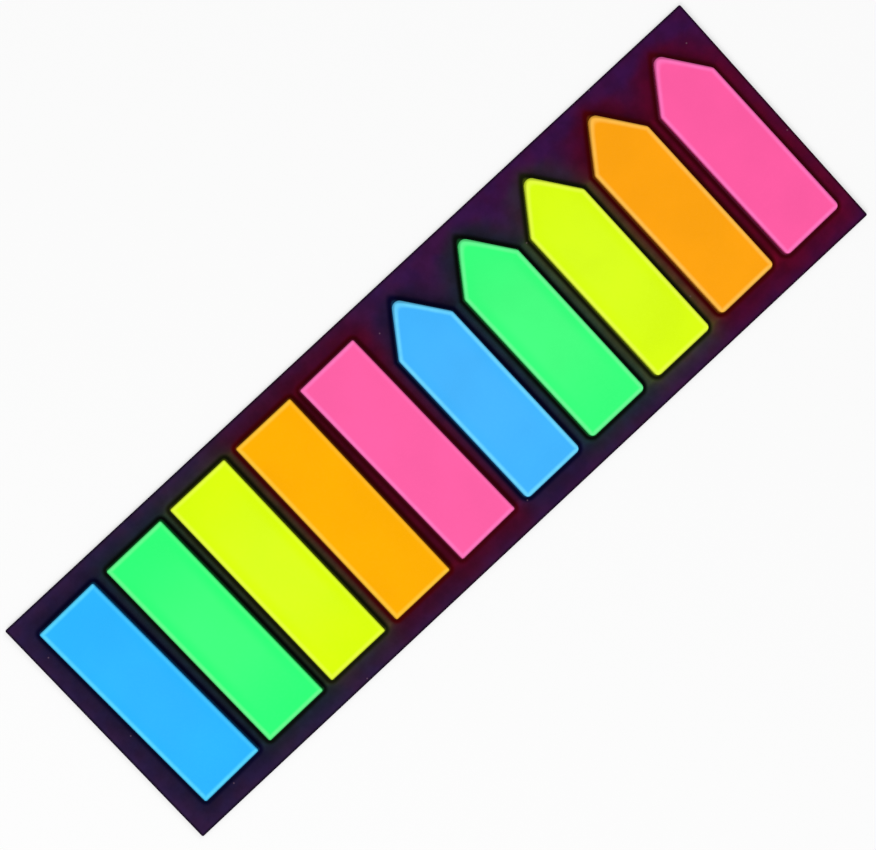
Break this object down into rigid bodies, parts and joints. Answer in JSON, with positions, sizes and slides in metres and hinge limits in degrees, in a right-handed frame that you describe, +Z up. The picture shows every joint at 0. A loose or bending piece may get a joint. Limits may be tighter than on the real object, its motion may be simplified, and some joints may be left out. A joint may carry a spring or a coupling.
{
  "type": "sticky index tabs",
  "caption": "Dark coated card holding a row of fluorescent film index tab pads, some with square ends and some with arrow ends, stuck side by side by their own adhesive.",
  "frame": {"origin": "the middle of the card's underside, which is the middle of the base of the whole part", "axes": "+X along the row, from the square-ended pads to the arrow-ended pads; +Y towards the arrow points; +Z up, out of the pads' faces"},
  "size_m": [0.15, 0.0466, 0.0016],
  "materials": {
    "coated_card": "dark aubergine coated card, satin",
    "blue_film": "fluorescent blue film, satin",
    "green_film": "fluorescent green film, satin",
    "yellow_film": "fluorescent yellow film, satin",
    "orange_film": "fluorescent orange film, satin",
    "pink_film": "fluorescent pink film, satin"
  },
  "bodies": {
    "root": {"backing_card": "coated_card", "rect_pad_blue": "blue_film", "rect_pad_green": "green_film", "rect_pad_yellow": "yellow_film", "rect_pad_orange": "orange_film", "rect_pad_pink": "pink_film", "arrow_pad_blue": "blue_film", "arrow_pad_green": "green_film", "arrow_pad_yellow": "yellow_film", "arrow_pad_orange": "orange_film", "arrow_pad_pink": "pink_film"}
  },
  "joints": []
}
